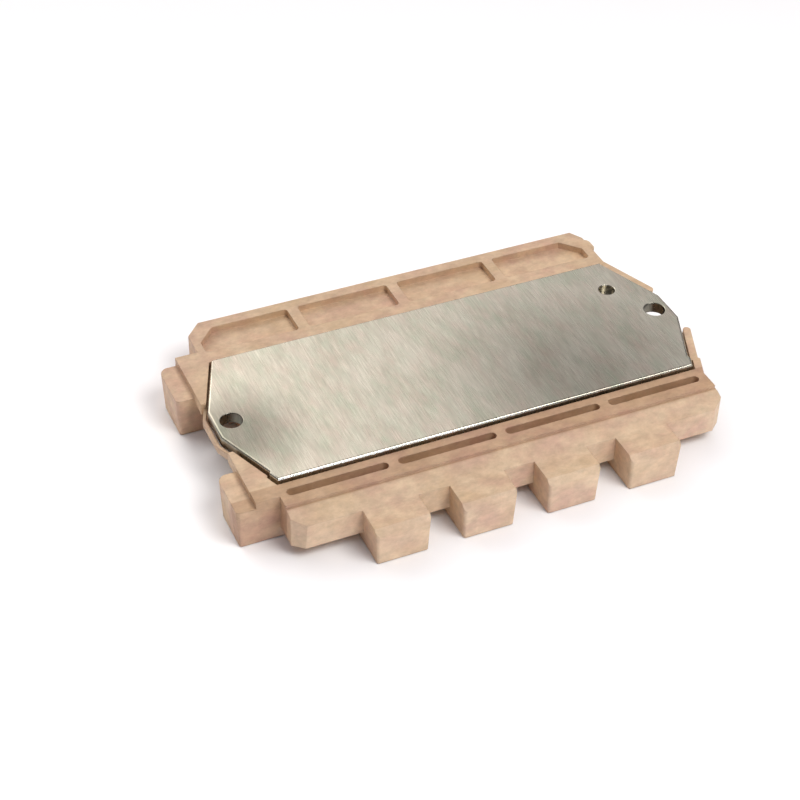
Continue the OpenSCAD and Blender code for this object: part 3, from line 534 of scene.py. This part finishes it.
class POWERMODULE_OT_threads(bpy.types.Operator):
    """Cuts the thread of the six nuts, which shows through the holes of the tabs"""

    bl_idname = "power_module.threads"
    bl_label = "Nut threads"

    def execute(self, context):
        pitch = context.scene.pm_metal.pitch
        steel = plated_strip("Zinc-plated steel, tapped", "B9B9B6", "9C9C98", 0.2, (1, 1, 1))
        points, faces = [], []
        for mount in MOUNTS.values():
            if mount["kind"] == "threaded_hole":
                ridge, quads = thread_ridge(mount, pitch)
                faces.append(quads + sum(len(earlier) for earlier in points))
                points.append(ridge)
        mesh = bpy.data.meshes.new("nut_threads")
        mesh.from_pydata(np.concatenate(points).tolist(), [], np.concatenate(faces).tolist())
        mesh.polygons.foreach_set("use_smooth", [True] * len(mesh.polygons))
        mesh.set_sharp_from_angle(angle=THREAD_SHARP)
        place_piece(mesh, "nut_threads", steel)
        return {"FINISHED"}


# The pieces in the closed case: material, its two colours, size of the mottle in mm, roughness.
# Cured silicone is pale and satin, fired alumina chalky white, moulding compound a dull black,
# sintered capacitors tan, glazed resistor film black and glossy, and solder mask a glossy green.
INNER = {
    "plate_adhesive": ("Silicone adhesive, cured", "DAD9D2", "C9C8C0", 1.5, 0.5),
    "lid_adhesive": ("Silicone adhesive, cured, lid", "DAD9D2", "C9C8C0", 1.5, 0.5),
    "substrate_ceramic": ("Alumina, fired", "ECEBE4", "DFDDD2", 2.0, 0.45),
    "driver_chips": ("Epoxy moulding compound, black", "1C1C1E", "2A2A2C", 0.8, 0.6),
    "board_capacitors": ("Sintered capacitor ceramic", "A0805C", "8C6C4A", 0.8, 0.45),
    "board_resistors": ("Glazed resistor film", "1E1E24", "2E2E36", 0.6, 0.3),
    "control_board": ("Solder mask on laminate, green", "1B5B36", "174E2E", 3.0, 0.3),
}
# The metal ones. Solder that has flowed is a soft grey, etched copper satin and salmon, the
# aluminium on the chips a smooth dark grey, and drawn wire bright.
INNER_METAL = {
    "substrate_solder": ("Solder, reflowed", "BEBFC2", "A9AAAE", 1.2, 0.42),
    "substrate_back_copper": ("Copper, bonded", "C98562", "B87452", 1.5, 0.4),
    "positive_rail": ("Copper track, etched", "CC8865", "BA7654", 1.5, 0.38),
    "negative_rail": ("Copper track, etched, negative", "CC8865", "BA7654", 1.5, 0.38),
    "phase_tracks": ("Copper track, etched, phases", "CC8865", "BA7654", 1.5, 0.38),
    "gate_pads": ("Copper pad, etched", "CC8865", "BA7654", 1.5, 0.38),
    "chip_solder": ("Solder under chips, reflowed", "BEBFC2", "A9AAAE", 0.8, 0.42),
    "igbt_chips": ("Aluminium-topped silicon, switches", "85878E", "73757C", 0.6, 0.25),
    "diode_chips": ("Aluminium-topped silicon, diodes", "96979C", "84858A", 0.6, 0.25),
    "bond_wires": ("Aluminium wire, drawn", "D6D6D8", "C4C4C8", 0.5, 0.22),
    "link_pins": ("Tin-plated copper wire", "D4D2CC", "C2C0B8", 0.5, 0.3),
}


class POWERMODULE_OT_inner(bpy.types.Operator):
    """Gives every piece inside the closed case its own finish"""

    bl_idname = "power_module.inner"
    bl_label = "Inner pieces"

    def execute(self, context):
        for table, metallic in ((INNER, 0.0), (INNER_METAL, 1.0)):
            for node, (name, base, mottle, size, rough) in table.items():
                material = plain_solid(name, base, mottle, size, rough, metallic)
                for part in NODES[node].material_slots:
                    part.material = material
        return {"FINISHED"}


# ---------- stage ----------

# Metres from the middle of the floor to its sides
FLOOR_REACH = 2.0
# The direction that the room is bright in: behind and above
BRIGHT_SIDE = (-0.05, 0.77, 0.64)
# Where the camera stands, and its own right and forward directions
CAMERA_PLACE = (-0.13065, -0.25880, 0.22933)
CAMERA_RIGHT = Vector((0.91436, -0.40447, 0.01862)).normalized()
CAMERA_FORWARD = Vector((0.32256, 0.69987, -0.63729)).normalized()


def soft_room(tree, dim, bright):
    """The room's light rises from dim to bright towards its bright side and is a little warmer
    there. The left of the plate mirrors that side, and the plate shades off to the right."""
    direction = add(tree, "TexCoord", output="Generated")
    towards = add(tree, "VectorMath", direction, BRIGHT_SIDE, operation="DOT_PRODUCT")
    rise = add(tree, "MapRange", towards, 0.68, 0.98, 0, 1)
    steep = add(tree, "Math", rise, rise, operation="MULTIPLY")
    strength = add(tree, "MapRange", steep, 0, 1, dim, bright)
    tint = add(tree, "Mix", steep, srgb("F2F2FC"), srgb("FFFCF8"), **COLOURS)
    connect(tree, tree.nodes["Background"], Strength=strength, Color=tint)


def area_light(name, power, place, size, tint):
    """A rectangular light that faces the module."""
    light = bpy.data.lights.new(name, "AREA")
    light.energy = power
    light.color = srgb(tint)[:3]
    light.shape = "RECTANGLE"
    light.size, light.size_y = size
    lamp = bpy.data.objects.new(name, light)
    lamp.location = place
    lamp.rotation_euler = (-lamp.location).to_track_quat("-Z", "Y").to_euler()
    bpy.context.scene.collection.objects.link(lamp)
    return lamp


class POWERMODULE_OT_stage(bpy.types.Operator):
    """Lays the floor and sets the lights, the sky and the camera"""

    bl_idname = "power_module.stage"
    bl_label = "Stage"

    def execute(self, context):
        stage = context.scene.pm_stage
        scene = context.scene
        reach, low = FLOOR_REACH, CAD_BOX[0][2]
        mesh = bpy.data.meshes.new("floor")
        mesh.from_pydata(
            [(-reach, -reach, low), (reach, -reach, low), (reach, reach, low), (-reach, reach, low)],
            [], [(0, 1, 2, 3)],
        )
        mesh.materials.append(
            plain_solid("Matt paper sheet", stage.floor, stage.floor, 20, 0.9, grain_mm=2)
        )
        floor = bpy.data.objects.new("floor", mesh)
        scene.collection.objects.link(floor)

        world = bpy.data.worlds.new("Soft room")
        scene.world = world
        world.use_nodes = True
        soft_room(world.node_tree, stage.dim, stage.bright)

        area_light("Overhead softbox", stage.overhead, (0.16, -0.32, 0.5), (0.3, 0.3), "FFFFFF")
        area_light("Back panel", stage.back, (-0.3, 0.5, 0.35), (0.5, 0.5), "FFFAF4")
        # The floor light brightens the paper, which lights the upright faces from below
        glow = area_light("Floor light", stage.paper, (0, 0, 0.5), (0.8, 0.8), "F4F4FF")
        area_light("Front strip", stage.front, (0.03, -0.45, 0.01), (0.25, 0.04), "CCE0FF")
        paper = bpy.data.collections.new("Lit by the floor light")
        paper.objects.link(floor)
        glow.light_linking.receiver_collection = paper

        camera = bpy.data.cameras.new("Camera")
        camera.sensor_width = 36
        camera.lens = stage.lens
        camera.clip_start = 0.01
        holder = bpy.data.objects.new("Camera", camera)
        up = CAMERA_RIGHT.cross(CAMERA_FORWARD).normalized()
        turn = Matrix((CAMERA_RIGHT, up, -CAMERA_FORWARD)).transposed()
        holder.matrix_world = Matrix.Translation(CAMERA_PLACE) @ turn.to_4x4()
        scene.collection.objects.link(holder)
        scene.camera = holder
        scene.view_settings.view_transform = "Standard"
        return {"FINISHED"}


OPERATORS = (
    POWERMODULE_OT_case,
    POWERMODULE_OT_plate,
    POWERMODULE_OT_metal,
    POWERMODULE_OT_threads,
    POWERMODULE_OT_inner,
    POWERMODULE_OT_stage,
)
SETTINGS = {
    "pm_case": CaseSettings,
    "pm_plate": PlateSettings,
    "pm_metal": MetalSettings,
    "pm_stage": StageSettings,
}


class POWERMODULE_PT_panel(bpy.types.Panel):
    """The module's operators and settings"""

    bl_idname = "POWERMODULE_PT_panel"
    bl_label = "Power module"
    bl_space_type = "VIEW_3D"
    bl_region_type = "UI"
    bl_category = "Power module"

    def draw(self, context):
        for operator in OPERATORS:
            self.layout.operator(operator.bl_idname)
        for key, group in SETTINGS.items():
            box = self.layout.box()
            for name in group.__annotations__:
                box.prop(getattr(context.scene, key), name)


def register():
    for item in (*SETTINGS.values(), *OPERATORS, POWERMODULE_PT_panel):
        bpy.utils.register_class(item)
    for key, group in SETTINGS.items():
        setattr(bpy.types.Scene, key, bpy.props.PointerProperty(type=group))


def unregister():
    for key in SETTINGS:
        delattr(bpy.types.Scene, key)
    for item in (POWERMODULE_PT_panel, *reversed(OPERATORS), *reversed(SETTINGS.values())):
        bpy.utils.unregister_class(item)


def main():
    """Makes everything in order."""
    register()
    for operator in OPERATORS:
        group, name = operator.bl_idname.split(".")
        getattr(getattr(bpy.ops, group), name)()


if __name__ == "__main__":
    main()
